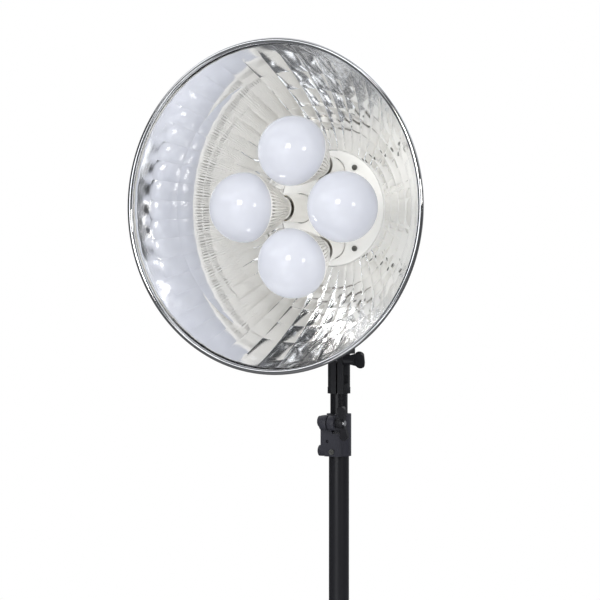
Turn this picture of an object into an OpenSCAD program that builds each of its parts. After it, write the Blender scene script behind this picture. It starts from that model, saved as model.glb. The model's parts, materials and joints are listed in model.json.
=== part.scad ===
// Four-lamp studio light: faceted bowl reflector with four splayed globe lamps,
// a switch housing behind it, a tilting bracket and a two-section tripod stand.
// The floor is z = 0 and the lamps face -Y. The origin is on the floor at the middle
// of the outline, so the stand's axis is at x = 0, y = stand_y.

/* [Head] */
// Height of the reflector's axis above the floor
lamp_z = 900; // [850:10:1000]
// Radius of the reflector over its rolled rim
bowl_r = 175; // [170:1:180]
// Depth from the rim plane to the socket plate
bowl_d = 138; // [132:1:140]
// Distance of the socket plate's face in front of the stand's axis
plate_y = 17; // [16:1:20]
// Radius of the socket plate
plate_r = 62.5; // [62:0.5:63.5]
// Thickness of the reflector's sheet
sheet = 1; // [0.8:0.1:1.2]

/* [Lamps] */
// Distance of each socket from the reflector's axis, at the plate
socket_ring = 38.6; // [37:0.2:39]
// Outward lean of each lamp
splay = 13; // [12:0.5:14]
// Radius of the opal globe
globe_r = 37.5; // [36:0.5:38]
// Distance of the globe's centre from the plate, along the lamp
globe_s = 90; // [89:0.5:92]

/* [Housing] */
// Outer radius of the switch housing
housing_r = 60; // [60:0.5:61]
// Position of the housing's back edge behind the stand's axis
housing_back = 68; // [66:1:75]
// Distance of the tilt bolt below the reflector's axis
tilt_drop = 115; // [112:1:118]

/* [Stand] */
// Outer radius of the sliding top tube
top_tube_r = 9.5; // [9.4:0.1:9.6]
// Outer radius of the base tube
base_tube_r = 11; // [11:0.1:11.2]
// Distance of the clamp collar's top below the reflector's axis
collar_drop = 223; // [221:1:230]
// Height of the clamp collar
collar_h = 46; // [44:1:50]
// Distance of the bracket sleeve's lower end below the reflector's axis
sleeve_drop = 201; // [200:1:203]

/* [Legs] */
// Height of the pivots at the leg collar
leg_pivot_z = 265; // [260:1:280]
// Distance of the leg pivots from the stand's axis
pivot_r = 30; // [30:0.5:31]
// Angle of each open leg from the vertical
leg_angle = 52; // [50:1:53]
// Distance between the pivots of a strut
strut_len = 110; // [106:1:112]

/* [Hidden] */
$fn = 64;

fit = 0.05;             // radial clearance of a running fit
rim_r = 3;              // radius of the rolled rim
flange_r = 57;          // opening in the back of the bowl
plate_t = 2.5;
back_y = plate_t - plate_y;         // rear face of the socket plate
flange_y = back_y + sheet;          // rear face of the bowl's flange
wall_r0 = plate_r + 0.5;            // bowl's inner radius where it meets the flange
wall_r1 = bowl_r - rim_r - sheet / 2;
bowl_steps = 16;
wall_end = bowl_d - 2 * rim_r + 0.5;      // depth at which the wall runs into the rim

socket_r = 15.5;
socket_bore = 13.9;
socket_front = 26;      // how far a socket stands out of the plate, along the lamp
socket_back = -12;
body_s0 = 28.8;         // lamp body's neck
body_s1 = 89;           // where the body meets the globe
neck_r = 12.6;
waist_s = 50;           // two rings of the body's curved flank
waist_r = 23.2;
shoulder_s = 70;
shoulder_r = 31.6;
body_r = sqrt(pow(globe_r, 2) - pow(globe_s - body_s1, 2));
shell_t = 1.5;
cap_skirt_r = neck_r - 2.2; // the screw cap's upper end, inside the neck

stand_y = 90.8;         // stand's axis behind the middle of the outline

screw_x = 28;           // socket plate's screws
screw_z = 43.6;

housing_t = 2.5;
cover_t = 3;
switch_x = 22;
switch_dz = 20;
frame_w = 21;
frame_h = 30;
rocker_pin_r = 1.5;
inlet_dz = -24;
inlet_w = 31;
inlet_h = 22;

tilt_z = lamp_z - tilt_drop;
lug_half = 7;           // half the thickness of the housing's lug
ear_gap = lug_half + 0.3;
ear_out = 13;
lug_r = 13;
bolt_r = 3;
yoke_low = tilt_z - 43; // underside of the bracket's solid yoke
umbrella_z = tilt_z - 30;
umbrella_r = 4.25;

sleeve_r = 12.1;
sleeve_bottom = lamp_z - sleeve_drop;
spigot_r = 8;
spigot_top = sleeve_bottom + 38;
clamp_turn = 20;        // direction of the sleeve's split, from -Y towards +X
sleeve_bolt_z = lamp_z - 164;
sleeve_bolt_y = -15.6;
lobe_half = 6.5;        // half width of the sleeve's clamp lobes
split = 1.6;            // width of both clamps' splits

collar_top = lamp_z - collar_drop;
top_tube_low = collar_top - 420;
base_tube_top = collar_top - 22;
base_tube_low = 24;
collar_r = 13.4;
collar_bolt_z = collar_top - 9;
collar_bolt_y = -23;
collar_face_y = -17;    // front of the collar's lower block
lobe_x = 8.6;           // knob side of the collar's split lobes
lobe_boss_x = -11.7;    // far side of the lobes' round boss
web_x = -13.8;          // far side of the web below that boss
collar_wing_x = 4.5;    // where the collar knob's wings start, from its base
collar_knob_x = lobe_x + 1.5;       // base of the collar knob
collar_knob_h = 11.6;
collar_screw_z = collar_top - 41;
foot_r = 13;

leg_w = 16;             // legs are flat-sided tubes, 16 wide and 12 deep
leg_deep = 12;
leg_wall = 1.2;
leg_len = (leg_pivot_z - 12) / cos(leg_angle);
rivet_r = 2.5;
fork_half = leg_w / 2 + 0.5;
strut_t = 1.5;
hub_z = leg_pivot_z - 2 * strut_len * cos(leg_angle);
leg_turns = [-90, 30, 150];         // directions of the front, right and left legs
lamp_turns = [0, 90, 180, 270];     // top, right, bottom and left lamps, clockwise from the front

// Points of an arc, from angle a0 to a1
function arc(cx, cy, r, a0, a1, n = 10) =
    [for (i = [0:n]) [cx + r * cos(a0 + (a1 - a0) * i / n), cy + r * sin(a0 + (a1 - a0) * i / n)]];

// Paraboloid wall: radius at a distance d in front of the socket plate
function bowl_radius(d) =
    sqrt(pow(wall_r0, 2) + (pow(wall_r1, 2) - pow(wall_r0, 2)) * d / (bowl_d - rim_r));

// The wall's profile points, moved outwards by a thickness
function bowl_wall(grow) =
    [for (i = [0:bowl_steps]) [bowl_radius(wall_end * i / bowl_steps) + grow, wall_end * i / bowl_steps]];

// Turns local +Z to the lamps' direction, -Y, with the socket plate's face at z = 0
module head_frame() {
    translate([0, -plate_y, lamp_z]) rotate([90, 0, 0]) children();
}

// Frame of one lamp: +Z along the lamp, z = 0 on the plate's face
module lamp_frame(turn) {
    head_frame() rotate([0, 0, 90 - turn]) translate([socket_ring, 0, 0]) rotate([0, splay, 0])
        children();
}

// Frame of one leg: +X away from the stand, +Y along the leg's pivots
module leg_frame(turn) {
    rotate([0, 0, turn]) children();
}

// Cylinder along X from x0 to x1
module rod_x(r, x0, x1) {
    translate([x0, 0, 0]) rotate([0, 90, 0]) cylinder(r = r, h = x1 - x0);
}

// Cylinder along Y from y0 to y1
module rod_y(r, y0, y1) {
    translate([0, y1, 0]) rotate([90, 0, 0]) cylinder(r = r, h = y1 - y0);
}

// ---------------------------------------------------------------- reflector

module reflector_bowl() {
    color("silver")
    head_frame()
    rotate_extrude($fn = 96)
        polygon(concat(
            [[flange_r, -plate_t - sheet], [flange_r, -plate_t], [wall_r0, -plate_t]],
            bowl_wall(0),
            arc(bowl_r - rim_r, bowl_d - rim_r, rim_r, 225, -105, 22),
            [for (p = [bowl_steps:-1:0]) bowl_wall(sheet)[p]],
            [[wall_r0 + sheet, -plate_t - sheet]]));
}

module socket_plate() {
    color("ivory")
    difference() {
        head_frame() translate([0, 0, -plate_t]) cylinder(r = plate_r, h = plate_t, $fn = 96);
        for (turn = lamp_turns)
            lamp_frame(turn) translate([0, 0, -12]) cylinder(r = socket_r + 0.7, h = 24);
        head_frame()
            for (x = [-screw_x, screw_x], y = [-screw_z, screw_z])
                translate([x, y, -5]) cylinder(r = 1.6, h = 10);
    }
}

module plate_screws() {
    color("dimgray")
    head_frame()
        for (x = [-screw_x, screw_x], y = [-screw_z, screw_z])
            translate([x, y, 0])
                difference() {
                    union() {
                        translate([0, 0, -9]) cylinder(r = 1.5, h = 10);
                        cylinder(r = 3, h = 1.6);
                    }
                    for (a = [0, 90])
                        rotate([0, 0, a]) translate([-2, -0.4, 0.8]) cube([4, 0.8, 1]);
                }
}

// ------------------------------------------------------------------- lamps

module socket(turn) {
    color("ivory")
    lamp_frame(turn)
        rotate_extrude()
            polygon([[0, socket_back], [socket_r - 1, socket_back], [socket_r, socket_back + 1],
                     [socket_r, socket_front - 1], [socket_r - 0.6, socket_front],
                     [socket_bore, socket_front], [socket_bore, socket_back + 3],
                     [0, socket_back + 3]]);
}

module socket_threads() {
    color("goldenrod")
    for (turn = lamp_turns)
        lamp_frame(turn)
            difference() {
                translate([0, 0, -3]) cylinder(r = 13.8, h = 25);
                translate([0, 0, -4]) cylinder(r = 13.3, h = 27);
            }
}

module socket_contacts() {
    color("goldenrod")
    for (turn = lamp_turns)
        lamp_frame(turn) {
            translate([-7, -2.5, socket_back + 3]) cube([14, 5, 0.8]);
            translate([-2.5, -2.5, socket_back + 3.8]) cube([5, 5, 1.6]);
        }
}

module globe(turn) {
    color("white")
    lamp_frame(turn) translate([0, 0, globe_s])
        rotate_extrude()
            difference() {
                circle(r = globe_r);
                circle(r = globe_r - shell_t);
                translate([-2 * globe_r, -globe_r]) square([2 * globe_r, 2 * globe_r]);
                translate([-1, -globe_r - 1]) square([globe_r + 2, globe_r + 1 + body_s1 - globe_s]);
            }
}

module lamp_body(turn) {
    color("seashell")
    lamp_frame(turn)
        rotate_extrude()
            polygon([[neck_r - 2, body_s0], [neck_r, body_s0], [neck_r + 0.7, body_s0 + 4],
                     [waist_r, waist_s], [shoulder_r, shoulder_s], [body_r - 1.4, body_s1 - 6],
                     [body_r, body_s1], [body_r - 2, body_s1], [body_r - 3.4, body_s1 - 6],
                     [shoulder_r - 2, shoulder_s], [waist_r - 2, waist_s], [neck_r - 2, body_s0 + 5]]);
}

module lamp_caps() {
    color("lightgray")
    for (turn = lamp_turns)
        lamp_frame(turn)
            rotate_extrude()
                polygon([[0, -6], [3, -6], [4.5, -4.8], [10, -2.5], [13.2, 0], [13.2, 22],
                         [cap_skirt_r, 22.8], [cap_skirt_r, 31], [cap_skirt_r - 0.8, 31],
                         [cap_skirt_r - 0.8, 22], [12.4, 21.2], [12.4, 1], [9.4, -1.5], [0, -4]]);
}

module led_boards() {
    color("whitesmoke")
    for (turn = lamp_turns)
        lamp_frame(turn) {
            translate([0, 0, body_s1 - 3.9]) cylinder(r = body_r - 4.4, h = 1.6);
            for (a = [0:45:315])
                rotate([0, 0, a]) translate([17, -1.5, body_s1 - 2.3]) cube([3, 3, 0.8]);
        }
}

// ----------------------------------------------------------------- housing

// Box on the back cover, centred at x and at a height above the reflector's axis
module cover_box(x, dz, w, h, y0, y1) {
    translate([x - w / 2, y0, lamp_z + dz - h / 2]) cube([w, y1 - y0, h]);
}

module rear_housing() {
    inner = housing_r - housing_t;
    color("#202022")
    difference() {
        union() {
            translate([0, 0, lamp_z]) rod_y(housing_r, flange_y, housing_back);
            translate([0, 0, tilt_z]) rod_x(lug_r, -lug_half, lug_half);
            translate([-lug_half, -lug_r, tilt_z])
                cube([2 * lug_half, 2 * lug_r, tilt_drop - housing_r + 2]);
        }
        translate([0, 0, lamp_z]) rod_y(inner, flange_y - 1, housing_back + 1);
        translate([0, 0, tilt_z]) rod_x(bolt_r + fit, -lug_half - 1, lug_half + 1);
        for (row = [-1:1], a = [-40:10:40])
            translate([0, 44 + 8 * row, lamp_z]) rotate([0, a, 0])
                translate([-2, -1.5, inner - 4]) cube([4, 3, 8]);
    }
}

module rear_cover() {
    color("#202022")
    difference() {
        translate([0, 0, lamp_z]) rod_y(housing_r, housing_back, housing_back + cover_t);
        for (side = [-1, 1])
            cover_box(side * switch_x, switch_dz, frame_w - 2, frame_h - 2,
                      housing_back - 1, housing_back + cover_t + 1);
        cover_box(0, inlet_dz, inlet_w - 3, inlet_h - 3, housing_back - 1, housing_back + cover_t + 1);
        for (a = [45:90:315])
            translate([52 * cos(a), 0, lamp_z + 52 * sin(a)])
                rod_y(1.7, housing_back - 1, housing_back + cover_t + 1);
    }
}

module cover_screws() {
    color("dimgray")
    for (a = [45:90:315])
        translate([52 * cos(a), 0, lamp_z + 52 * sin(a)])
            difference() {
                union() {
                    rod_y(1.6, housing_back - 8, housing_back + cover_t + 0.5);
                    rod_y(3.2, housing_back + cover_t, housing_back + cover_t + 1.8);
                }
                for (t = [0, 90])
                    rotate([0, t, 0])
                        translate([-2.2, housing_back + cover_t + 0.9, -0.4]) cube([4.4, 1, 0.8]);
            }
}

module switch_frames() {
    face = housing_back + cover_t;
    color("#101012")
    for (side = [-1, 1])
        difference() {
            union() {
                cover_box(side * switch_x, switch_dz, frame_w, frame_h, face, face + 2);
                cover_box(side * switch_x, switch_dz, frame_w - 2, frame_h - 2, face - 17, face + 1);
            }
            cover_box(side * switch_x, switch_dz, frame_w - 6, frame_h - 6, face - 15, face + 3);
            translate([side * switch_x, face - 3, lamp_z + switch_dz])
                rod_x(rocker_pin_r + fit, -frame_w / 2 + 1.5, frame_w / 2 - 1.5);
        }
}

// Rocker button: two faces that meet in a shallow valley, tipped one way on its pivot
module rocker(side) {
    face = housing_back + cover_t;
    half = frame_h / 2 - 4.2;
    color("#101012")
    translate([side * switch_x, face - 3, lamp_z + switch_dz]) rotate([8, 0, 0]) {
        translate([-frame_w / 2 + 3.4, 0, 0]) rotate([90, 0, 90])
            linear_extrude(height = frame_w - 6.8)
                polygon([[-6, -half + 2], [6.5, -half], [4.6, 0], [6.5, half], [-6, half - 2]]);
        rod_x(rocker_pin_r, -frame_w / 2 + 1.8, frame_w / 2 - 1.8);
    }
}

module power_inlet() {
    face = housing_back + cover_t;
    color("#101012")
    difference() {
        union() {
            cover_box(0, inlet_dz, inlet_w, inlet_h, face, face + 2);
            cover_box(0, inlet_dz, inlet_w - 3, inlet_h - 3, face - 20, face + 1);
        }
        cover_box(0, inlet_dz, 24.2, 16.4, face - 17, face + 3);
        for (x = [-7, 0, 7])
            cover_box(x, inlet_dz + (x == 0 ? 4 : -1), 2, 4, face - 22, face - 16);
    }
}

module inlet_pins() {
    face = housing_back + cover_t;
    color("silver")
    for (x = [-7, 0, 7])
        cover_box(x, inlet_dz + (x == 0 ? 4 : -1), 2, 4, face - 26, face - 4);
}

module terminal_block() {
    color("white")
    difference() {
        translate([-18, 8, lamp_z - 8]) cube([36, 14, 16]);
        for (x = [-12, 0, 12])
            translate([x, 22, lamp_z]) rod_y(2.4, -6, 1);
    }
}

// One straight insulated wire between two points
module wire(from, to) {
    step = to - from;
    run = norm(step);
    translate(from) rotate([0, acos(step[2] / run), atan2(step[1], step[0])])
        cylinder(r = 1.1, h = run, $fn = 16);
}

module wire_harness() {
    color("white")
    translate([0, 0, lamp_z]) {
        for (side = [-1, 1]) {
            wire([6 * side, 12, 8.5 * side], [0, 0, 33 * side]);
            wire([18.5 * side, 12, 0], [33 * side, 0, 0]);
            wire([14 * side, 22.5, 4], [switch_x * side, 53, 18]);
        }
        wire([0, 22.5, -6], [0, housing_back - 24, inlet_dz + 4]);
    }
}

// ----------------------------------------------------------------- bracket

// Wing knob on a bolt along +X: base at x = 0, wings from x = wing_x on, bore up to x = bore_end
module wing_knob(bore_r, reach, hub_r, depth, wing_x, notch, bore_end) {
    difference() {
        union() {
            rod_x(hub_r, 0, wing_x + 3);
            rotate([90, 0, 0]) translate([0, 0, -2.2])
                linear_extrude(height = 4.4)
                    polygon(concat(
                        [[wing_x - 2, -hub_r + 1.5], [wing_x - 1, -hub_r]],
                        arc(depth - 5, -reach + 5, 5, 200, 360),
                        [[depth - notch, 0]],
                        arc(depth - 5, reach - 5, 5, 0, 160),
                        [[wing_x - 1, hub_r], [wing_x - 2, hub_r - 1.5]]));
        }
        rod_x(bore_r, -1, bore_end);
    }
}

module tilt_bracket() {
    color("#232326")
    difference() {
        union() {
            for (side = [-1, 1])
                translate([0, 0, tilt_z])
                    rod_x(lug_r, side < 0 ? -ear_out : ear_gap, side < 0 ? -ear_gap : ear_out);
            translate([-ear_out, -lug_r, yoke_low]) cube([2 * ear_out, 2 * lug_r, tilt_z - yoke_low]);
            translate([0, 0, sleeve_bottom]) cylinder(r = sleeve_r, h = yoke_low - sleeve_bottom + 1);
            translate([0, 0, sleeve_bottom]) cylinder(r = sleeve_r + 0.35, h = 7);
            rotate([0, 0, clamp_turn])
                translate([-lobe_half, sleeve_bolt_y - 5, sleeve_bottom])
                    cube([2 * lobe_half, 12, yoke_low - sleeve_bottom - 2]);
        }
        translate([-ear_gap, -lug_r - 1, tilt_z - lug_r - 1])
            cube([2 * ear_gap, 2 * lug_r + 2, 2 * lug_r + 2]);
        translate([0, 0, tilt_z]) rod_x(bolt_r, -ear_out - 1, ear_out + 1);
        translate([0, 0, umbrella_z]) rod_y(umbrella_r, -lug_r - 1, lug_r + 1);
        translate([0, 0, umbrella_z]) rod_x(2.5, -ear_out - 1, 0);
        translate([0, 0, sleeve_bottom - 1]) cylinder(r = spigot_r + fit, h = spigot_top - sleeve_bottom + 2);
        rotate([0, 0, clamp_turn]) {
            translate([-split / 2, sleeve_bolt_y - 6, sleeve_bottom - 1])
                cube([split, 6 - sleeve_bolt_y, yoke_low - sleeve_bottom]);
            translate([0, sleeve_bolt_y, sleeve_bolt_z]) rod_x(2.5, -lobe_half - 1, lobe_half + 1);
            for (side = [-1, 1])
                translate([side * 8.9 - 2, -12, sleeve_bottom + 11]) cube([4, 6.5, 9]);
        }
    }
}

module tilt_bolt() {
    color("silver")
    translate([0, 0, tilt_z]) {
        rod_x(bolt_r, -ear_out, ear_out + 11);
        rod_x(6.5, -ear_out - 3, -ear_out);
    }
}

module tilt_knob() {
    color("#1c1c1e")
    translate([ear_out + 0.3, 0, tilt_z]) rotate([80, 0, 0])
        wing_knob(bolt_r + fit, 22, 8, 24, 11, 3, 11);
}

module sleeve_bolt() {
    color("silver")
    rotate([0, 0, clamp_turn]) translate([0, sleeve_bolt_y, sleeve_bolt_z]) {
        rod_x(2.5, -lobe_half, lobe_half + 9);
        rod_x(4.5, -lobe_half - 2.5, -lobe_half);
    }
}

module sleeve_knob() {
    color("#1c1c1e")
    rotate([0, 0, clamp_turn]) translate([lobe_half + 0.3, sleeve_bolt_y, sleeve_bolt_z])
        rotate([40, 0, 0]) wing_knob(2.5 + fit, 10.5, 5.4, 23, 9, 0, 9);
}

module umbrella_knob() {
    color("#1c1c1e")
    translate([0, 0, umbrella_z]) {
        rod_x(2.5 - fit, -ear_out - 2, -umbrella_r - 0.6);
        difference() {
            rod_x(8, -ear_out - 10, -ear_out - 1);
            for (a = [0:30:330])
                rotate([a, 0, 0]) translate([0, 8.6, 0]) rod_x(1.4, -ear_out - 11, ear_out);
        }
    }
}

// ------------------------------------------------------------------- stand

// Hollow tube along Z
module tube(r, wall, z0, z1) {
    translate([0, 0, z0]) difference() {
        cylinder(r = r, h = z1 - z0);
        translate([0, 0, -1]) cylinder(r = r - wall, h = z1 - z0 + 2);
    }
}

module top_tube() {
    color("#141416") tube(top_tube_r, 1, top_tube_low, sleeve_bottom - 0.4);
}

module top_spigot() {
    inner = top_tube_r - 1;
    color("silver") {
        translate([0, 0, sleeve_bottom - 30]) cylinder(r = inner, h = 29.6);
        translate([0, 0, sleeve_bottom - 0.4]) cylinder(r = spigot_r, h = spigot_top - sleeve_bottom - 1.6);
        translate([0, 0, spigot_top - 2]) cylinder(r1 = spigot_r, r2 = spigot_r - 1, h = 1);
    }
}

module slide_bush() {
    color("white")
    difference() {
        union() {
            translate([0, 0, top_tube_low - 12]) cylinder(r = base_tube_r - 1 - fit, h = 12);
            translate([0, 0, top_tube_low]) cylinder(r = top_tube_r - 1, h = 10);
        }
        translate([0, 0, top_tube_low - 13]) cylinder(r = 6, h = 24);
    }
}

module base_tube() {
    color("#141416") tube(base_tube_r, 1, base_tube_low, base_tube_top);
}

module tube_collar() {
    low = collar_top - collar_h;
    color("#2a2a2e")
    difference() {
        union() {
            translate([0, 0, low]) cylinder(r = collar_r, h = collar_h);
            translate([-9, collar_bolt_y, collar_bolt_z - 8]) cube([9 + lobe_x, -4 - collar_bolt_y, 16]);
            translate([0, collar_bolt_y, collar_bolt_z]) rod_x(8, -9, lobe_x);
            translate([0, collar_bolt_y, collar_bolt_z + 1.5]) rod_x(6, lobe_boss_x, 0);
            translate([-9, collar_face_y, low]) cube([18, 12, 25]);
            translate([web_x, collar_face_y, low + 6]) cube([-web_x, 9, collar_h - 16]);
            translate([0, collar_face_y + 6, low + 6]) rod_x(6, -17.5, 9);
        }
        translate([0, 0, low - 1]) cylinder(r = base_tube_r, h = base_tube_top - low + 1);
        translate([0, 0, low]) cylinder(r = top_tube_r + 0.3, h = collar_h + 1);
        translate([-split / 2, collar_bolt_y - 9, low + 27]) cube([split, 2 - collar_bolt_y, 30]);
        translate([0, collar_bolt_y, collar_bolt_z]) rod_x(bolt_r, -20, 20);
        translate([0, 0, collar_screw_z]) rod_y(1.6, collar_face_y - 1, -10);
        translate([-5.6, 0, collar_screw_z + 11.5]) rod_y(1.8, collar_face_y - 1, collar_face_y + 3);
    }
}

module collar_bolt() {
    color("silver")
    translate([0, collar_bolt_y, collar_bolt_z])
        rod_x(bolt_r, lobe_boss_x, collar_knob_x + collar_knob_h - 2.4);
}

module collar_knob() {
    color("#1c1c1e")
    translate([collar_knob_x, collar_bolt_y, collar_bolt_z]) rotate([12, 0, 0])
        wing_knob(bolt_r + fit, 19, 5.5, collar_knob_h, collar_wing_x, 3, collar_knob_h);
}

module collar_screw() {
    color("#303034")
    translate([0, 0, collar_screw_z])
        difference() {
            union() {
                rod_y(1.6, collar_face_y, -base_tube_r);
                rod_y(3, collar_face_y - 1.6, collar_face_y);
            }
            for (t = [0, 90])
                rotate([0, t, 0]) translate([-2, collar_face_y - 1.7, -0.4]) cube([4, 0.9, 0.8]);
        }
}

module tube_plug() {
    color("#1c1c1e") {
        translate([0, 0, base_tube_low]) cylinder(r = base_tube_r - 1, h = 14);
        translate([0, 0, base_tube_low - 4]) cylinder(r = base_tube_r, h = 4);
    }
}

// -------------------------------------------------------------------- legs

module leg_collar() {
    color("#232326")
    difference() {
        union() {
            translate([0, 0, leg_pivot_z - 12]) cylinder(r = 18, h = 34);
            for (turn = leg_turns)
                leg_frame(turn)
                    for (y = [-fork_half - 3.5, fork_half])
                        translate([10, y, leg_pivot_z - 8]) {
                            cube([pivot_r - 10, 3.5, 16]);
                            translate([pivot_r - 10, 0, 8]) rod_y(8, 0, 3.5);
                        }
        }
        translate([0, 0, leg_pivot_z - 13]) cylinder(r = base_tube_r, h = 36);
        for (turn = leg_turns)
            leg_frame(turn) translate([pivot_r, 0, leg_pivot_z])
                rod_y(rivet_r, -fork_half - 4, fork_half + 4);
    }
}

module leg_pins() {
    color("silver")
    for (turn = leg_turns)
        leg_frame(turn) translate([pivot_r, 0, leg_pivot_z]) {
            rod_y(rivet_r, -fork_half - 3.5, fork_half + 3.5);
            rod_y(4, -fork_half - 5, -fork_half - 3.5);
            rod_y(4, fork_half + 3.5, fork_half + 5);
        }
}

// Frame along an open leg: z = 0 on its collar pivot, -Z towards the foot
module open_leg(turn) {
    leg_frame(turn) translate([pivot_r, 0, leg_pivot_z]) rotate([0, -leg_angle, 0]) children();
}

module leg(turn) {
    color("#141416")
    open_leg(turn)
        difference() {
            translate([-leg_deep / 2, -leg_w / 2, -leg_len]) cube([leg_deep, leg_w, leg_len + 7]);
            translate([-leg_deep / 2 + leg_wall, -leg_w / 2 + leg_wall, -leg_len - 1])
                cube([leg_deep - 2 * leg_wall, leg_w - 2 * leg_wall, leg_len + 9]);
            rod_y(rivet_r + fit, -leg_w, leg_w);
            translate([0, 0, -strut_len]) rod_y(rivet_r + fit, -leg_w, leg_w);
        }
}

module foot(turn) {
    color("#0e0e10")
    intersection() {
        open_leg(turn)
            difference() {
                translate([0, 0, -leg_len - 22]) cylinder(r = foot_r, h = 48);
                translate([-leg_deep / 2, -leg_w / 2, -leg_len]) cube([leg_deep, leg_w, 60]);
            }
        cylinder(r = 600, h = 100);
    }
}

// Frame along an open strut: z = 0 on its leg pivot, -Z towards the hub
module open_strut(turn) {
    leg_frame(turn)
        translate([pivot_r + strut_len * sin(leg_angle), 0, leg_pivot_z - strut_len * cos(leg_angle)])
            rotate([0, leg_angle, 0]) children();
}

module strut(turn) {
    depth = 11;
    web_in = -7.2;
    color("#3a3a3e")
    open_strut(turn)
        difference() {
            union() {
                for (y = [-fork_half - strut_t, fork_half]) {
                    translate([web_in - strut_t, y, -strut_len]) cube([depth + strut_t, strut_t, strut_len]);
                    translate([0, y, 0]) rod_y(6, 0, strut_t);
                    translate([0, y, -strut_len]) rod_y(6, 0, strut_t);
                }
                translate([web_in - strut_t, -fork_half - strut_t, -strut_len + 16])
                    cube([strut_t, 2 * fork_half + 2 * strut_t, strut_len - 32]);
            }
            for (z = [-strut_len, 0]) {
                translate([0, 0, z]) rod_y(rivet_r, -fork_half - 3, fork_half + 3);
                translate([web_in - 3, -fork_half - 3, z == 0 ? -14 : z])
                    cube([-web_in - 3, 2 * fork_half + 6, 14]);
            }
        }
}

module rivets(turn) {
    half = fork_half + strut_t;
    color("silver")
    open_strut(turn)
        for (z = [-strut_len, 0])
            translate([0, 0, z]) {
                rod_y(rivet_r, -half, half);
                rod_y(4, -half - 1.4, -half);
                rod_y(4, half, half + 1.4);
            }
}

module spreader_hub() {
    color("#232326")
    difference() {
        union() {
            translate([0, 0, hub_z - 9]) cylinder(r = 18, h = 18);
            for (turn = leg_turns)
                leg_frame(turn) {
                    translate([10, -leg_w / 2, hub_z - 5]) cube([pivot_r - 10, leg_w, 10]);
                    translate([pivot_r, 0, hub_z]) rod_y(5, -leg_w / 2, leg_w / 2);
                }
            leg_frame(90) translate([0, 0, hub_z]) rod_x(7, 10, 24);
        }
        translate([0, 0, hub_z - 10]) cylinder(r = base_tube_r + 0.3, h = 20);
        for (turn = leg_turns)
            leg_frame(turn) translate([pivot_r, 0, hub_z]) rod_y(rivet_r + fit, -leg_w, leg_w);
        leg_frame(90) translate([0, 0, hub_z]) rod_x(2.5, 5, 30);
    }
}

module hub_knob() {
    color("#1c1c1e")
    leg_frame(90) translate([0, 0, hub_z]) {
        rod_x(2.5 - fit, base_tube_r + 0.5, 26);
        translate([24.4, 0, 0]) difference() {
            rod_x(9, 0, 12);
            for (a = [0:36:324])
                rotate([a, 0, 0]) translate([0, 9.8, 0]) rod_x(1.8, -1, 13);
        }
    }
}

// ------------------------------------------------------------------- nodes

// Everything above is drawn about the stand's axis; this sets it in its place.
module placed() {
    translate([0, stand_y, 0]) children();
}

placed() reflector_bowl();
placed() socket_plate();
placed() plate_screws();
placed() socket(lamp_turns[0]);  // socket_top
placed() socket(lamp_turns[1]);  // socket_right
placed() socket(lamp_turns[2]);  // socket_bottom
placed() socket(lamp_turns[3]);  // socket_left
placed() socket_threads();
placed() socket_contacts();
placed() globe(lamp_turns[0]);  // globe_top
placed() globe(lamp_turns[1]);  // globe_right
placed() globe(lamp_turns[2]);  // globe_bottom
placed() globe(lamp_turns[3]);  // globe_left
placed() lamp_body(lamp_turns[0]);  // lamp_body_top
placed() lamp_body(lamp_turns[1]);  // lamp_body_right
placed() lamp_body(lamp_turns[2]);  // lamp_body_bottom
placed() lamp_body(lamp_turns[3]);  // lamp_body_left
placed() lamp_caps();
placed() led_boards();
placed() rear_housing();
placed() rear_cover();
placed() cover_screws();
placed() switch_frames();
placed() rocker(-1);  // rocker_left
placed() rocker(1);  // rocker_right
placed() power_inlet();
placed() inlet_pins();
placed() terminal_block();
placed() wire_harness();
placed() tilt_bracket();
placed() tilt_bolt();
placed() tilt_knob();
placed() sleeve_bolt();
placed() sleeve_knob();
placed() umbrella_knob();
placed() top_tube();
placed() top_spigot();
placed() slide_bush();
placed() base_tube();
placed() tube_collar();
placed() collar_bolt();
placed() collar_knob();
placed() collar_screw();
placed() tube_plug();
placed() leg_collar();
placed() leg_pins();
placed() leg(leg_turns[0]);  // leg_front
placed() leg(leg_turns[1]);  // leg_right
placed() leg(leg_turns[2]);  // leg_left
placed() foot(leg_turns[0]);  // foot_front
placed() foot(leg_turns[1]);  // foot_right
placed() foot(leg_turns[2]);  // foot_left
placed() strut(leg_turns[0]);  // strut_front
placed() strut(leg_turns[1]);  // strut_right
placed() strut(leg_turns[2]);  // strut_left
placed() rivets(leg_turns[0]);  // rivets_front
placed() rivets(leg_turns[1]);  // rivets_right
placed() rivets(leg_turns[2]);  // rivets_left
placed() spreader_hub();
placed() hub_knob();
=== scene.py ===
"""Studio picture of a four-lamp continuous light on its tripod stand, built on the CAD frame."""
import json
import math

import bmesh
import bpy
from mathutils import Matrix, Vector

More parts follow.
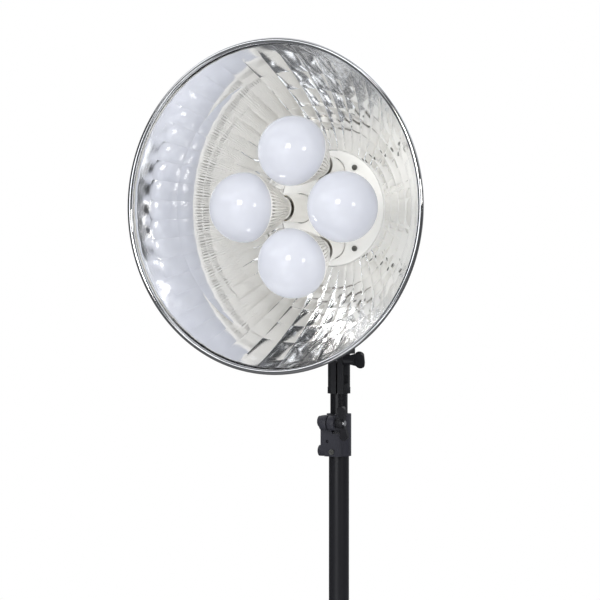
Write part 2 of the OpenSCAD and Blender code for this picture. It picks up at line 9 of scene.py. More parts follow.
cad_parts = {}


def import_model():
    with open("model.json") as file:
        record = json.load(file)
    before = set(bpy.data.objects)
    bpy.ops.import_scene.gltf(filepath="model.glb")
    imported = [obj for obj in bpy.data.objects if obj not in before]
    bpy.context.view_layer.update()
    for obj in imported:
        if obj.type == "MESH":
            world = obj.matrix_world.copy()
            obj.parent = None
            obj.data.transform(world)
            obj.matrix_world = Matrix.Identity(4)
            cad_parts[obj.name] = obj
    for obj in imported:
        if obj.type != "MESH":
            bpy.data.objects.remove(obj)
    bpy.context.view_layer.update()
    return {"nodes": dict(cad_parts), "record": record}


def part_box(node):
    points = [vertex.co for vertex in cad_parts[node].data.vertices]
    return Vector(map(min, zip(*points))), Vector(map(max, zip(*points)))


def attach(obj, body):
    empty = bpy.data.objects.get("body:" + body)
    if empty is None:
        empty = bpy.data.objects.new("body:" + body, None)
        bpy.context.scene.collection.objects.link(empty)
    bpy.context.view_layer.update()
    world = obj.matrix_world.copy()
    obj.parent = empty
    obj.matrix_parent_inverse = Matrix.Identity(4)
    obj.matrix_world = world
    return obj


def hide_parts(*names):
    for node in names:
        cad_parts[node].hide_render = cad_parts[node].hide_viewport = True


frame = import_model()
NODES = frame["nodes"]

# ------------------------------------------------------------------ sizes from the frame (metres)
BOWL_LO, BOWL_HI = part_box("reflector_bowl")
PLATE_LO, PLATE_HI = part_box("socket_plate")
TUBE_LO, TUBE_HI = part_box("base_tube")
GLOBE_LO, GLOBE_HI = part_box("globe_top")
STAND_Y = (TUBE_LO.y + TUBE_HI.y) / 2
AXIS_Z = (BOWL_LO.z + BOWL_HI.z) / 2
PLATE_Y = PLATE_LO.y
PLATE_R = (PLATE_HI.x - PLATE_LO.x) / 2
GLOBE_R = (GLOBE_HI.x - GLOBE_LO.x) / 2
RIM_OUT = (BOWL_HI.x - BOWL_LO.x) / 2
BOWL_DEPTH = PLATE_Y - BOWL_LO.y
FLANGE_BACK = PLATE_Y - BOWL_HI.y
RIM_ROLL = 0.003
SHEET = 0.001
WALL_R0 = PLATE_R + 0.0005
WALL_R1 = RIM_OUT - RIM_ROLL - SHEET / 2
FLANGE_R = 0.057

# reflector's facets
FACETS = 46
FACET_START = 176.9
ACROSS = (0.0, 0.07, 0.29, 0.5, 0.71, 0.93)
ALONG = (0.0, 0.08, 0.36, 0.64, 0.92)
FACET_STEPS = len(ACROSS)
RING_RADII = (WALL_R0, 0.0755, 0.092, 0.109, 0.1262, 0.143, 0.1595)
PILLOWS = (0.00016, 0.00016, 0.00014, 0.00010, 0.00005, 0.00007)
CREASES = (0.00014, 0.00014, 0.00012, 0.00008, 0.00004, 0.00004)
UNEVEN = 0.00010
UNEVEN_STEPS = (12.9898, 78.233)
SCALLOP = 0.10
BAND = (0.05, 0.15, 0.3, 0.5, 0.75, 1.0)
BAND_LAP = 0.0005
RIM_STEPS = 22
RIM_FROM = 225
RIM_SWEEP = 330

# lamps
SPLAY = math.radians(13)
GLOBE_S = 0.09
GLOBE_SHELL = 0.0015
RIBS = 60
BODY_S0, BODY_S1 = 0.0288, 0.089
BODY_SHAPE = ((0.0288, 0.0126), (0.0328, 0.0133), (0.050, 0.0232), (0.070, 0.0316))
BODY_STEPS = (0.0, 0.03, 0.06, 0.09, 0.2, 0.35, 0.5, 0.62,
              0.72, 0.80, 0.815, 0.905, 0.92, 0.94, 0.96, 1.0)
BODY_INSIDE = ((0.0345, 0.0845), (0.0280, 0.0838), (0.0270, 0.074), (0.0186, 0.050))
BODY_ROUND = (0.006, 0.0014)
NECK_R = 0.0126
RIB_POINTS = 8
GROOVE_POINTS = (0, 1, 2)
GROOVE = 0.0013
GROOVE_SPAN = (0.08, 0.95)
SLOT = 0.0055
SLOT_SPAN = (0.81, 0.91)
GLOBE_COLS = 96
GLOBE_ROWS = 40
GLOBE_ROWS_IN = 24
TURNS = {"top": 0, "right": 90, "bottom": 180, "left": 270}


# ------------------------------------------------------------------------------- mesh helpers
def mesh_object(name, verts, faces, sharp=(), angle=None):
    """Mesh object from points and faces, smooth, with the sharp edges given as pairs of points."""
    me = bpy.data.meshes.new(name)
    me.from_pydata([tuple(v) for v in verts], [], faces)
    bm = bmesh.new()
    bm.from_mesh(me)
    bmesh.ops.recalc_face_normals(bm, faces=bm.faces)
    bm.to_mesh(me)
    bm.free()
    for poly in me.polygons:
        poly.use_smooth = True
    if sharp:
        wanted = set(sharp)
        for edge in me.edges:
            pair = (min(edge.vertices), max(edge.vertices))
            edge.use_edge_sharp = pair in wanted
    if angle is not None:
        me.set_sharp_from_angle(angle=math.radians(angle))
    me.update()
    ob = bpy.data.objects.new(name, me)
    bpy.context.scene.collection.objects.link(ob)
    return ob


def closed_grid(rows, cols):
    """Faces of a grid that closes both ways."""
    faces = []
    for r in range(rows):
        for c in range(cols):
            r1, c1 = (r + 1) % rows, (c + 1) % cols
            faces.append((r * cols + c, r * cols + c1, r1 * cols + c1, r1 * cols + c))
    return faces


def lathe(name, profile, cols, place, radius=None, angle=30):
    """Turned solid: a closed profile of (radius, distance) points, about +Z of a frame."""
    verts = []
    for i, (r, s) in enumerate(profile):
        for c in range(cols):
            a = 2 * math.pi * c / cols
            rr = radius(i, c, r, s) if radius else r
            verts.append(place @ Vector((rr * math.cos(a), rr * math.sin(a), s)))
    ob = mesh_object(name, verts, closed_grid(len(profile), cols))
    bm = bmesh.new()
    bm.from_mesh(ob.data)
    bmesh.ops.remove_doubles(bm, verts=bm.verts, dist=1e-6)
    bmesh.ops.dissolve_degenerate(bm, edges=bm.edges, dist=1e-7)
    bmesh.ops.recalc_face_normals(bm, faces=bm.faces)
    bm.to_mesh(ob.data)
    bm.free()
    ob.data.set_sharp_from_angle(angle=math.radians(angle))
    return ob


def lamp_place(which):
    """Frame of one lamp: +Z along it, z = 0 on the socket plate's face."""
    ring = GLOBE_HI.z - GLOBE_R - AXIS_Z - GLOBE_S * math.sin(SPLAY)
    head = Matrix.Translation((0, PLATE_Y, AXIS_Z)) @ Matrix.Rotation(math.pi / 2, 4, "X")
    turn = Matrix.Rotation(math.radians(90 - TURNS[which]), 4, "Z")
    return head @ turn @ Matrix.Translation((ring, 0, 0)) @ Matrix.Rotation(SPLAY, 4, "Y")


# ---------------------------------------------------------------------------------- materials
def shader(name):
    """New material with its principled shader and object coordinates."""
    mat = bpy.data.materials.new(name)
    mat.use_nodes = True
    tree = mat.node_tree
    coords = tree.nodes.new("ShaderNodeTexCoord")
    return mat, tree, tree.nodes["Principled BSDF"], coords.outputs["Object"]


def noise(tree, coords, scale, detail=4.0, stretch=(1, 1, 1), rough=0.5):
    """Noise value in object space."""
    mapping = tree.nodes.new("ShaderNodeMapping")
    mapping.inputs["Scale"].default_value = stretch
    tree.links.new(coords, mapping.inputs["Vector"])
    node = tree.nodes.new("ShaderNodeTexNoise")
    node.inputs["Scale"].default_value = scale
    node.inputs["Detail"].default_value = detail
    node.inputs["Roughness"].default_value = rough
    tree.links.new(mapping.outputs["Vector"], node.inputs["Vector"])
    return node.outputs["Fac"]


def remap(tree, value, low, high, start=0.3, stop=0.7):
    """Value from start..stop to low..high."""
    node = tree.nodes.new("ShaderNodeMapRange")
    node.inputs["From Min"].default_value = start
    node.inputs["From Max"].default_value = stop
    node.inputs["To Min"].default_value = low
    node.inputs["To Max"].default_value = high
    tree.links.new(value, node.inputs["Value"])
    return node.outputs["Result"]


def two_tone(tree, value, dark, light, start=0.35, stop=0.65):
    """Colour between dark and light."""
    ramp = tree.nodes.new("ShaderNodeValToRGB")
    ramp.color_ramp.elements[0].position = start
    ramp.color_ramp.elements[0].color = (*dark, 1)
    ramp.color_ramp.elements[1].position = stop
    ramp.color_ramp.elements[1].color = (*light, 1)
    tree.links.new(value, ramp.inputs["Fac"])
    return ramp.outputs["Color"]


def bump(tree, bsdf, value, strength, distance, under=None):
    """Bump on the shader's normal, over an earlier bump."""
    node = tree.nodes.new("ShaderNodeBump")
    node.inputs["Strength"].default_value = strength
    node.inputs["Distance"].default_value = distance
    tree.links.new(value, node.inputs["Height"])
    if under is not None:
        tree.links.new(under, node.inputs["Normal"])
    tree.links.new(node.outputs["Normal"], bsdf.inputs["Normal"])
    return node.outputs["Normal"]


def paint(name, colour, roughness, metallic=0.0, tint=0.12, spread=0.08, grain=900.0,
          grain_depth=0.00006, wear=14.0, stretch=(1, 1, 1), coat=0.0, level=0.5):
    """Painted, moulded or plated finish: colour, roughness and grain all vary a little."""
    mat, tree, bsdf, coords = shader(name)
    broad = noise(tree, coords, wear, 5.0, stretch)
    fine = noise(tree, coords, grain, 2.0, stretch)
    dark = tuple(c * (1 - tint) for c in colour)
    light = tuple(min(1.0, c * (1 + tint)) for c in colour)
    tree.links.new(two_tone(tree, broad, dark, light), bsdf.inputs["Base Color"])
    rough = remap(tree, broad, roughness - spread, roughness + spread)
    tree.links.new(rough, bsdf.inputs["Roughness"])
    bump(tree, bsdf, fine, 0.35, grain_depth)
    bsdf.inputs["Metallic"].default_value = metallic
    bsdf.inputs["Coat Weight"].default_value = coat
    bsdf.inputs["Coat Roughness"].default_value = 0.08
    bsdf.inputs["Specular IOR Level"].default_value = level
    return mat


def mirror_aluminium():
    """Polished spun aluminium with faint rings, cloudy patches and fine scratches."""
    mat, tree, bsdf, coords = shader("mirror_aluminium")
    cloud = noise(tree, coords, 22.0, 5.0)
    scratch = noise(tree, coords, 60.0, 8.0, (1, 9, 1))
    tree.links.new(two_tone(tree, cloud, (0.915, 0.918, 0.925), (0.955, 0.957, 0.96)),
                   bsdf.inputs["Base Color"])
    tree.links.new(remap(tree, scratch, 0.04, 0.10), bsdf.inputs["Roughness"])
    first = bump(tree, bsdf, cloud, 0.10, 0.0002)
    bump(tree, bsdf, scratch, 0.10, 0.00008, first)
    bsdf.inputs["Metallic"].default_value = 1.0
    return mat


def opal():
    """Opal lamp globe: milky, slightly blue, glossy, with a weak glow of painted light that flattens
    its shading.
    """
    mat, tree, bsdf, coords = shader("opal_globe")
    cloud = noise(tree, coords, 30.0, 3.0)
    fine = noise(tree, coords, 420.0, 2.0)
    tree.links.new(two_tone(tree, cloud, (0.43, 0.436, 0.468), (0.46, 0.466, 0.498)),
                   bsdf.inputs["Base Color"])
    tree.links.new(remap(tree, cloud, 0.03, 0.06), bsdf.inputs["Roughness"])
    bump(tree, bsdf, fine, 0.05, 0.00003)
    bsdf.inputs["Subsurface Weight"].default_value = 0.35
    bsdf.inputs["Subsurface Radius"].default_value = (0.006, 0.006, 0.007)
    bsdf.inputs["Subsurface Scale"].default_value = 1.0
    bsdf.inputs["IOR"].default_value = 1.5
    # Painted light: the lamp is not lit, and this faint glow lifts and evens out the globe's shading,
    # as light passing through the opal would.
    bsdf.inputs["Emission Color"].default_value = (0.86, 0.90, 1.0, 1)
    bsdf.inputs["Emission Strength"].default_value = 0.15
    return mat


def rubber():
    """Dull rubber with dust and scuffs."""
    mat, tree, bsdf, coords = shader("foot_rubber")
    dust = noise(tree, coords, 45.0, 6.0)
    fine = noise(tree, coords, 1500.0, 2.0)
    tree.links.new(two_tone(tree, dust, (0.012, 0.012, 0.013), (0.035, 0.034, 0.033)),
                   bsdf.inputs["Base Color"])
    tree.links.new(remap(tree, dust, 0.62, 0.85), bsdf.inputs["Roughness"])
    bump(tree, bsdf, fine, 0.5, 0.0001)
    return mat


def floor_paper():
    """Pale studio paper."""
    mat, tree, bsdf, coords = shader("floor_paper")
    broad = noise(tree, coords, 1.2, 3.0)
    fine = noise(tree, coords, 380.0, 3.0)
    tree.links.new(two_tone(tree, broad, (0.83, 0.83, 0.835), (0.87, 0.87, 0.872)),
                   bsdf.inputs["Base Color"])
    tree.links.new(remap(tree, broad, 0.75, 0.85), bsdf.inputs["Roughness"])
    bump(tree, bsdf, fine, 0.15, 0.0001)
    return mat


FINISHES = {
    "mirror_aluminium": mirror_aluminium(),
    "opal_globe": opal(),
    "foot_rubber": rubber(),
    "cream_plate": paint("cream_plate", (0.90, 0.893, 0.86), 0.38, tint=0.02, grain=700.0),
    "cream_socket": paint("cream_socket", (0.90, 0.885, 0.84), 0.34, tint=0.02, grain=600.0),
    "cream_ribbed": paint("cream_ribbed", (0.94, 0.925, 0.885), 0.42, tint=0.03, grain=800.0),
    "dark_screw": paint("dark_screw", (0.16, 0.16, 0.15), 0.40, metallic=0.8),
    "contact_brass": paint("contact_brass", (0.68, 0.50, 0.22), 0.30, metallic=1.0),
    "nickel_cap": paint("nickel_cap", (0.42, 0.40, 0.37), 0.35, metallic=1.0, wear=40.0),
    "board_white": paint("board_white", (0.82, 0.82, 0.80), 0.45, tint=0.03),
    "housing_black": paint("housing_black", (0.022, 0.022, 0.024), 0.46, grain=1100.0,
                           grain_depth=0.00012),
    "switch_black": paint("switch_black", (0.014, 0.014, 0.016), 0.26, spread=0.05),
    "pin_metal": paint("pin_metal", (0.70, 0.68, 0.62), 0.28, metallic=1.0),
    "block_white": paint("block_white", (0.78, 0.77, 0.73), 0.5, tint=0.03),
    "wire_cover": paint("wire_cover", (0.70, 0.70, 0.68), 0.45, tint=0.04),
    "bracket_black": paint("bracket_black", (0.011, 0.011, 0.013), 0.42, grain=1000.0,
                           grain_depth=0.0001, level=0.35),
    "bolt_steel": paint("bolt_steel", (0.62, 0.62, 0.63), 0.26, metallic=1.0, wear=60.0),
    "knob_black": paint("knob_black", (0.011, 0.011, 0.013), 0.34, grain=1000.0, level=0.4),
    "tube_black": paint("tube_black", (0.010, 0.010, 0.012), 0.30, tint=0.2, grain=500.0,
                        stretch=(1, 1, 0.15), coat=0.1, level=0.35),
    "spigot_metal": paint("spigot_metal", (0.66, 0.66, 0.68), 0.24, metallic=1.0,
                          stretch=(1, 1, 6)),
    "bush_white": paint("bush_white", (0.74, 0.74, 0.72), 0.45, tint=0.03),
    "collar_black": paint("collar_black", (0.024, 0.024, 0.031), 0.36, grain=900.0, level=0.4),
    "plug_black": paint("plug_black", (0.020, 0.020, 0.022), 0.5),
    "leg_collar_black": paint("leg_collar_black", (0.024, 0.024, 0.027), 0.42),
    "leg_black": paint("leg_black", (0.018, 0.018, 0.021), 0.30, tint=0.2, coat=0.25),
    "strut_grey": paint("strut_grey", (0.050, 0.050, 0.055), 0.36, metallic=0.4),
}


def finish_piece(ob, body, slot):
    """Material, CAD body and material slot of one piece."""
    ob.data.materials.clear()
    ob.data.materials.append(FINISHES[slot])
    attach(ob, body)
    return ob


# ------------------------------------------------------------------------------------- pieces
def wall_radius(depth):
    """Inner radius of the reflector at a distance in front of the socket plate."""
    run = BOWL_DEPTH - RIM_ROLL
    return math.sqrt(WALL_R0 ** 2 + (WALL_R1 ** 2 - WALL_R0 ** 2) * depth / run)


def wall_depth(radius):
    """Distance in front of the socket plate at which the reflector has this inner radius."""
    run = BOWL_DEPTH - RIM_ROLL
    return (radius ** 2 - WALL_R0 ** 2) * run / (WALL_R1 ** 2 - WALL_R0 ** 2)


def bowl_point(radius, depth, turn):
    """Point in the row frame."""
    return Vector((radius * math.cos(turn), PLATE_Y - depth, AXIS_Z + radius * math.sin(turn)))


def facet_corner(ring, facet):
    """Corner between facets, slightly off the paraboloid as pressed sheet is."""
    turn = math.radians(FACET_START) + facet * 2 * math.pi / FACETS
    radius = RING_RADII[ring]
    if 0 < ring < len(RING_RADII) - 1:
        step_ring, step_facet = UNEVEN_STEPS
        radius += UNEVEN * math.sin(step_ring * ring + step_facet * (facet % FACETS))
    return bowl_point(radius, wall_depth(RING_RADII[ring]), turn)


def facet_point(ring, v, column):
    """Point on a facet: flat between its four corners, with a slight pillow and creased edges."""
    facet, step = divmod(column, FACET_STEPS)
    u = ACROSS[step]
    width = 2 * math.pi / FACETS
    left = math.radians(FACET_START) + facet * width
    r0, r1 = RING_RADII[ring], RING_RADII[ring + 1]
    d0, d1 = wall_depth(r0), wall_depth(r1)
    bow = 4 * u * (1 - u)
    if ring == len(RING_RADII) - 2:
        v = v * (1 + SCALLOP * bow)
    a = facet_corner(ring, facet) * (1 - u) + facet_corner(ring, facet + 1) * u
    b = facet_corner(ring + 1, facet) * (1 - u) + facet_corner(ring + 1, facet + 1) * u
    flat = a * (1 - v) + b * v
    mid = left + u * width
    slope = (r1 - r0) / (d1 - d0)
    normal = Vector((-math.cos(mid), -slope, -math.sin(mid))).normalized()
    rise = PILLOWS[ring] * bow * 4 * min(v, 1) * (1 - min(v, 1))
    if u == 0 or v == 0:
        rise -= CREASES[ring]
    return flat + normal * rise


def column_turn(column):
    """Angle of one column of the reflector's points."""
    facet, step = divmod(column, FACET_STEPS)
    return math.radians(FACET_START) + (facet + ACROSS[step]) * 2 * math.pi / FACETS


def bowl_rows():
    """The reflector's rows, inside from the plate to the rim, over the rim and back outside."""
    rings = len(RING_RADII) - 1
    inner = []
    for ring in range(rings):
        for v in ALONG:
            inner.append(("facet", ring, v))
    inner.append(("facet", rings - 1, 1.0))
    band = [("band", None, t) for t in BAND]
    rim = []
    for k in range(1, RIM_STEPS + 1):
        rim.append(("rim", None, math.radians(RIM_FROM - RIM_SWEEP * k / RIM_STEPS)))
    outer = [("outer", row, None) for row in reversed(inner + band)]
    flange = ((WALL_R0 + SHEET, FLANGE_BACK), (FLANGE_R, FLANGE_BACK),
              (FLANGE_R, FLANGE_BACK + SHEET), (WALL_R0, FLANGE_BACK + SHEET))
    back = [("back", point, None) for point in flange]
    return inner + band + rim + outer + back


def bowl_row_point(row, column):
    """Point of one row of the reflector at one column."""
    kind, first, second = row
    turn = column_turn(column)
    if kind == "facet":
        return facet_point(first, second, column)
    if kind == "band":
        edge = facet_point(len(RING_RADII) - 2, 1.0, column)
        start = PLATE_Y - edge.y
        end = BOWL_DEPTH - 2 * RIM_ROLL + BAND_LAP
        depth = start + (end - start) * second
        gap = wall_radius(start) - math.hypot(edge.x, edge.z - AXIS_Z)
        return bowl_point(wall_radius(depth) - gap * (1 - second) ** 3, depth, turn)
    if kind == "rim":
        radius = RIM_OUT - RIM_ROLL + RIM_ROLL * math.cos(second)
        return bowl_point(radius, BOWL_DEPTH - RIM_ROLL + RIM_ROLL * math.sin(second), turn)
    if kind == "outer":
        inside = bowl_row_point(first, column)
        return inside + Vector((math.cos(turn), 0, math.sin(turn))) * SHEET
    return bowl_point(first[0], first[1], turn)


def bowl_faceted():
    """Spun aluminium bowl with pressed facets, a smooth band and a rolled rim."""
    rows = bowl_rows()
    cols = FACETS * FACET_STEPS
    verts = [bowl_row_point(row, c) for row in rows for c in range(cols)]
    sharp = []
    for r, row in enumerate(rows):
        base = row[1] if row[0] == "outer" else row
        for c in range(cols):
            here = r * cols + c
            side = r * cols + (c + 1) % cols
            ahead = ((r + 1) % len(rows)) * cols + c
            if base[0] == "back" or (base[0] == "facet" and base[2] in (0.0, 1.0)):
                sharp.append((min(here, side), max(here, side)))
            following = rows[(r + 1) % len(rows)]
            after = following[1] if following[0] == "outer" else following
            if base[0] == "facet" and after[0] == "facet" and c % FACET_STEPS == 0:
                sharp.append((min(here, ahead), max(here, ahead)))
    ob = mesh_object("bowl_faceted", verts, closed_grid(len(rows), cols), sharp)
    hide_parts("reflector_bowl")
    return finish_piece(ob, "head", "mirror_aluminium")


def globe(which):
    """Opal globe with its open end on the lamp's body."""
    outer = GLOBE_R
    inner = outer - GLOBE_SHELL
    cut = BODY_S1 - GLOBE_S
    profile = []
    first = math.asin(cut / outer)
    for k in range(GLOBE_ROWS + 1):
        a = first + (math.pi / 2 - first) * k / GLOBE_ROWS
        profile.append((max(0.0, outer * math.cos(a)), GLOBE_S + outer * math.sin(a)))
    start = math.asin(cut / inner)
    for k in range(GLOBE_ROWS_IN + 1):
        a = math.pi / 2 + (start - math.pi / 2) * k / GLOBE_ROWS_IN
        profile.append((max(0.0, inner * math.cos(a)), GLOBE_S + inner * math.sin(a)))
    ob = lathe(f"globe_opal_{which}", profile, GLOBE_COLS, lamp_place(which), angle=60)
    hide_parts(f"globe_{which}")
    return finish_piece(ob, "head", "opal_globe")


def body_radius(s):
    """Outer radius of a lamp's body at a distance along it, rounded off at the globe's end."""
    back, inward = BODY_ROUND
    points = BODY_SHAPE + ((BODY_S1 - back, GLOBE_R - inward), (BODY_S1, GLOBE_R))
    for (s0, r0), (s1, r1) in zip(points, points[1:]):
        if s <= s1:
            return r0 + (r1 - r0) * (s - s0) / (s1 - s0)
    return GLOBE_R


def lamp_body(which):
    """Lamp's body: fine lengthwise ribs from neck to globe, with a slot between them near the globe."""
    length = BODY_S1 - BODY_S0
    profile = [(body_radius(BODY_S0 + length * t), BODY_S0 + length * t) for t in BODY_STEPS]
    ribbed = len(profile)
    profile.append((GLOBE_R - 0.002, BODY_S1))
    profile.extend(BODY_INSIDE)
    profile += [(NECK_R - 0.0014, 0.034), (NECK_R - 0.0018, BODY_S0)]

    def radius(i, c, r, s):
        if i >= ribbed:
            return r
        t = BODY_STEPS[i]
        if c % RIB_POINTS not in GROOVE_POINTS or not GROOVE_SPAN[0] <= t <= GROOVE_SPAN[1]:
            return r
        return r - (SLOT if SLOT_SPAN[0] < t < SLOT_SPAN[1] else GROOVE)

    ob = lathe(f"lamp_ribbed_{which}", profile, RIBS * RIB_POINTS, lamp_place(which), radius, angle=35)
    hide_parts(f"lamp_body_{which}")
    return finish_piece(ob, "head", "cream_ribbed")


def soften(node, width, segments=2):
    """Small rounded edges on a CAD node that stays."""
    ob = NODES[node]
    weld = ob.modifiers.new("weld", "WELD")
    weld.merge_threshold = 0.00001
    edge = ob.modifiers.new("edges", "BEVEL")
    edge.width = width
    edge.segments = segments
    edge.limit_method = "ANGLE"
    edge.angle_limit = math.radians(40)
    edge.use_clamp_overlap = True


def dress(node, slot, width=0.0):
    """Material on a CAD node that stays, and softened edges where it has them."""
    ob = NODES[node]
    ob.data.materials.clear()
    ob.data.materials.append(FINISHES[slot])
    if width:
        soften(node, width)


def dress_all():
    """Finish of every CAD node that stays."""
    for part in frame["record"]["subparts"]:
        if not NODES[part["node"]].hide_render:
            dress(part["node"], part["material_slot"], EDGES.get(part["node"], 0.0))


EDGES = {
    "socket_plate": 0.0004, "socket_top": 0.0004, "socket_right": 0.0004, "socket_bottom": 0.0004,
    "socket_left": 0.0004, "rear_housing": 0.0006, "rear_cover": 0.0006, "switch_frames": 0.0004,
    "rocker_left": 0.0004, "rocker_right": 0.0004, "power_inlet": 0.0004, "tilt_bracket": 0.0008,
    "tilt_knob": 0.0008, "sleeve_knob": 0.0008, "umbrella_knob": 0.0005, "tube_collar": 0.0006,
    "collar_knob": 0.0008, "leg_collar": 0.0006, "spreader_hub": 0.0006, "hub_knob": 0.0005,
    "foot_front": 0.001, "foot_right": 0.001, "foot_left": 0.001,
    "leg_front": 0.0008, "leg_right": 0.0008, "leg_left": 0.0008,
    "strut_front": 0.0003, "strut_right": 0.0003, "strut_left": 0.0003,
    "collar_bolt": 0.0003, "tilt_bolt": 0.0003, "sleeve_bolt": 0.0003,
}


# -------------------------------------------------------------------------------------- stage
ROOM_FRONT = (10.0, 35.0)
ROOM_SOFT = ((0.20, 0.45), (0.50, 1.05), (0.75, 1.55), (1.0, 1.65))
ROOM_BACK = (180.0, 50.0)
ROOM_DARK = ((0.0, 0.18), (0.25, 0.08), (0.55, 0.06), (0.75, 0.25), (1.0, 0.75))
WARM_WHITE = (1.0, 0.98, 0.95)
COOL_WHITE = (0.95, 0.97, 1.0)
# name, side, height, distance, width, height of the card, colour, strength
FRONT_CARDS = (
    ("softbox_main", 11.5, 15.5, 3.0, 0.78, 0.78, WARM_WHITE, 11.0),
    ("softbox_small", 61.5, 7.0, 3.0, 0.55, 0.55, WARM_WHITE, 9.0),
    ("panel_high", -32.0, 26.0, 3.2, 3.1, 1.1, COOL_WHITE, 1.5),
    ("panel_low", -2.0, -2.0, 3.2, 1.8, 1.0, COOL_WHITE, 1.8),
)
PATCHES = ((-4, -27), (24, -38), (2, -53), (-6, 42), (26, 54))
BACK_CARDS = (
    ("panel_back", 165.0, 42.0, 3.0, 2.6, 1.6, COOL_WHITE, 1.4),
    ("panel_back_side", -115.0, 38.0, 3.0, 1.8, 1.6, COOL_WHITE, 1.2),
)
CAM_SIDE = math.radians(27.45)
CAM_DISTANCE = 3.0
CAM_HEIGHT = 0.857
CAM_LENS = 165.6
CAM_YAW = math.radians(0.81)
CAM_DIP = math.radians(1.08)


def direction(side, height):
    """Unit vector from the object: side in degrees from -Y towards +X, height above the horizon."""
    a, e = math.radians(side), math.radians(height)
    return Vector((math.sin(a) * math.cos(e), -math.cos(a) * math.cos(e), math.sin(e)))


def card(name, side, height, distance, width, tall, colour, strength):
    """Flat card that faces the lamp head and isn't seen by the camera itself."""
    centre = Vector((0, PLATE_Y, AXIS_Z)) + direction(side, height) * distance
    aim = (-direction(side, height)).to_track_quat("-Z", "Y").to_matrix()
    w, t = width / 2, tall / 2
    corners = [centre + aim @ Vector(p) for p in ((-w, -t, 0), (w, -t, 0), (w, t, 0), (-w, t, 0))]
    me = bpy.data.meshes.new(name)
    me.from_pydata([tuple(c) for c in corners], [], [(0, 1, 2, 3)])
    ob = bpy.data.objects.new(name, me)
    bpy.context.scene.collection.objects.link(ob)
    mat = bpy.data.materials.new(name)
    mat.use_nodes = True
    tree = mat.node_tree
    glow = tree.nodes.new("ShaderNodeEmission")
    glow.inputs["Color"].default_value = (*colour, 1)
    glow.inputs["Strength"].default_value = strength
    tree.nodes.remove(tree.nodes["Principled BSDF"])
    tree.links.new(glow.outputs["Emission"], tree.nodes["Material Output"].inputs["Surface"])
    me.materials.append(mat)
    ob.visible_camera = False
    return ob


def floor():
    """Round sheet of pale paper under the stand."""
    rings, cols, reach = 12, 96, 3.3
    verts = [Vector((0, 0, 0))]
    for r in range(1, rings + 1):
        for c in range(cols):
            a = 2 * math.pi * c / cols
            verts.append(Vector((reach * r / rings * math.cos(a), reach * r / rings * math.sin(a), 0)))
    faces = [(0, 1 + c, 1 + (c + 1) % cols) for c in range(cols)]
    for r in range(rings - 1):
        for c in range(cols):
            a, b = 1 + r * cols + c, 1 + r * cols + (c + 1) % cols
            faces.append((a, a + cols, b + cols, b))
    ob = mesh_object("floor", verts, faces)
    ob.data.materials.append(floor_paper())
    ob.visible_glossy = False
    return ob


def sky(tree, front, levels):
    """World background whose level goes with the angle from one direction."""
    light = tree.nodes.new("ShaderNodeBackground")
    coords = tree.nodes.new("ShaderNodeTexCoord")
    facing = tree.nodes.new("ShaderNodeVectorMath")
    facing.operation = "DOT_PRODUCT"
    facing.inputs[1].default_value = direction(*front)
    tree.links.new(coords.outputs["Generated"], facing.inputs[0])
    spread = remap(tree, facing.outputs["Value"], 0.0, 1.0, -1.0, 1.0)
    ramp = tree.nodes.new("ShaderNodeValToRGB")
    for spot, (place, level) in zip(ramp.color_ramp.elements, levels[:2]):
        spot.position, spot.color = place, (level * 0.94, level * 0.96, level, 1)
    for place, level in levels[2:]:
        ramp.color_ramp.elements.new(place).color = (level * 0.94, level * 0.96, level, 1)
    tree.links.new(spread, ramp.inputs["Fac"])
    tree.links.new(ramp.outputs["Color"], light.inputs["Color"])
    return light


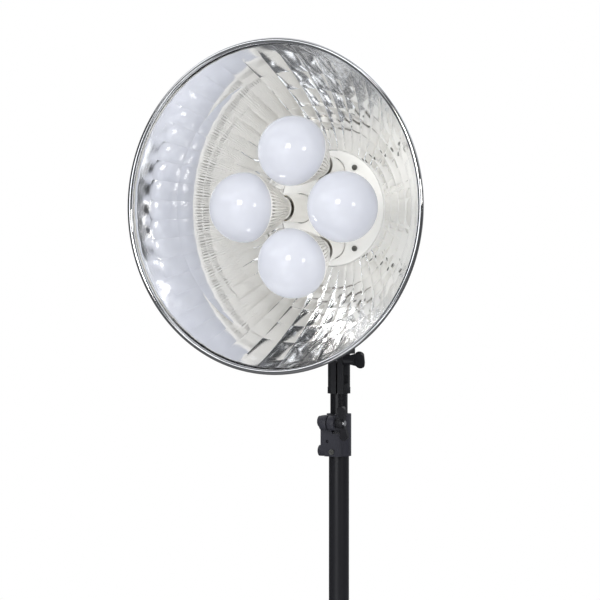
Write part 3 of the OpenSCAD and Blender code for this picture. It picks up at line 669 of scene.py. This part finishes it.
def world():
    """White to the camera, a soft room to matt surfaces and a dark one to shiny surfaces."""
    made = bpy.data.worlds.new("studio")
    bpy.context.scene.world = made
    made.use_nodes = True
    tree = made.node_tree
    tree.nodes.clear()
    out = tree.nodes.new("ShaderNodeOutputWorld")
    seen = tree.nodes.new("ShaderNodeBackground")
    seen.inputs["Color"].default_value = (1, 1, 1, 1)
    soft = sky(tree, ROOM_FRONT, ROOM_SOFT)
    dark = sky(tree, ROOM_BACK, ROOM_DARK)
    path = tree.nodes.new("ShaderNodeLightPath")
    matt = tree.nodes.new("ShaderNodeMath")
    matt.operation = "GREATER_THAN"
    matt.inputs[1].default_value = 0.5
    tree.links.new(path.outputs["Diffuse Depth"], matt.inputs[0])
    room = tree.nodes.new("ShaderNodeMixShader")
    tree.links.new(matt.outputs["Value"], room.inputs["Fac"])
    tree.links.new(dark.outputs["Background"], room.inputs[1])
    tree.links.new(soft.outputs["Background"], room.inputs[2])
    mix = tree.nodes.new("ShaderNodeMixShader")
    tree.links.new(path.outputs["Is Camera Ray"], mix.inputs["Fac"])
    tree.links.new(room.outputs["Shader"], mix.inputs[1])
    tree.links.new(seen.outputs["Background"], mix.inputs[2])
    tree.links.new(mix.outputs["Shader"], out.inputs["Surface"])


def lights():
    """Two softboxes in front, wide weaker panels round the lamp, and small patches."""
    for values in FRONT_CARDS:
        card(*values)
    for k, (side, height) in enumerate(PATCHES):
        card(f"patch_{k}", side, height, 2.4, 0.75, 0.40, COOL_WHITE, 1.8)
    for values in BACK_CARDS:
        card(*values)


def camera():
    """Camera level with the lamp head, to the right of its front, turned and dipped a little."""
    cam = bpy.data.cameras.new("camera")
    cam.lens = CAM_LENS
    cam.sensor_width = 36.0
    cam.dof.use_dof = False
    ob = bpy.data.objects.new("camera", cam)
    bpy.context.scene.collection.objects.link(ob)
    cam_x = CAM_DISTANCE * math.sin(CAM_SIDE)
    cam_y = STAND_Y - CAM_DISTANCE * math.cos(CAM_SIDE)
    ob.location = (cam_x, cam_y, CAM_HEIGHT)
    turn = CAM_SIDE + CAM_YAW
    heading = Vector((-math.sin(turn), math.cos(turn), 0))
    look = heading * math.cos(CAM_DIP) - Vector((0, 0, math.sin(CAM_DIP)))
    ob.rotation_mode = "QUATERNION"
    ob.rotation_quaternion = look.to_track_quat("-Z", "Y")
    bpy.context.scene.camera = ob


bowl_faceted()
for name in TURNS:
    globe(name)
    lamp_body(name)
dress_all()
floor()
world()
lights()
camera()
bpy.context.scene.view_settings.view_transform = "Standard"
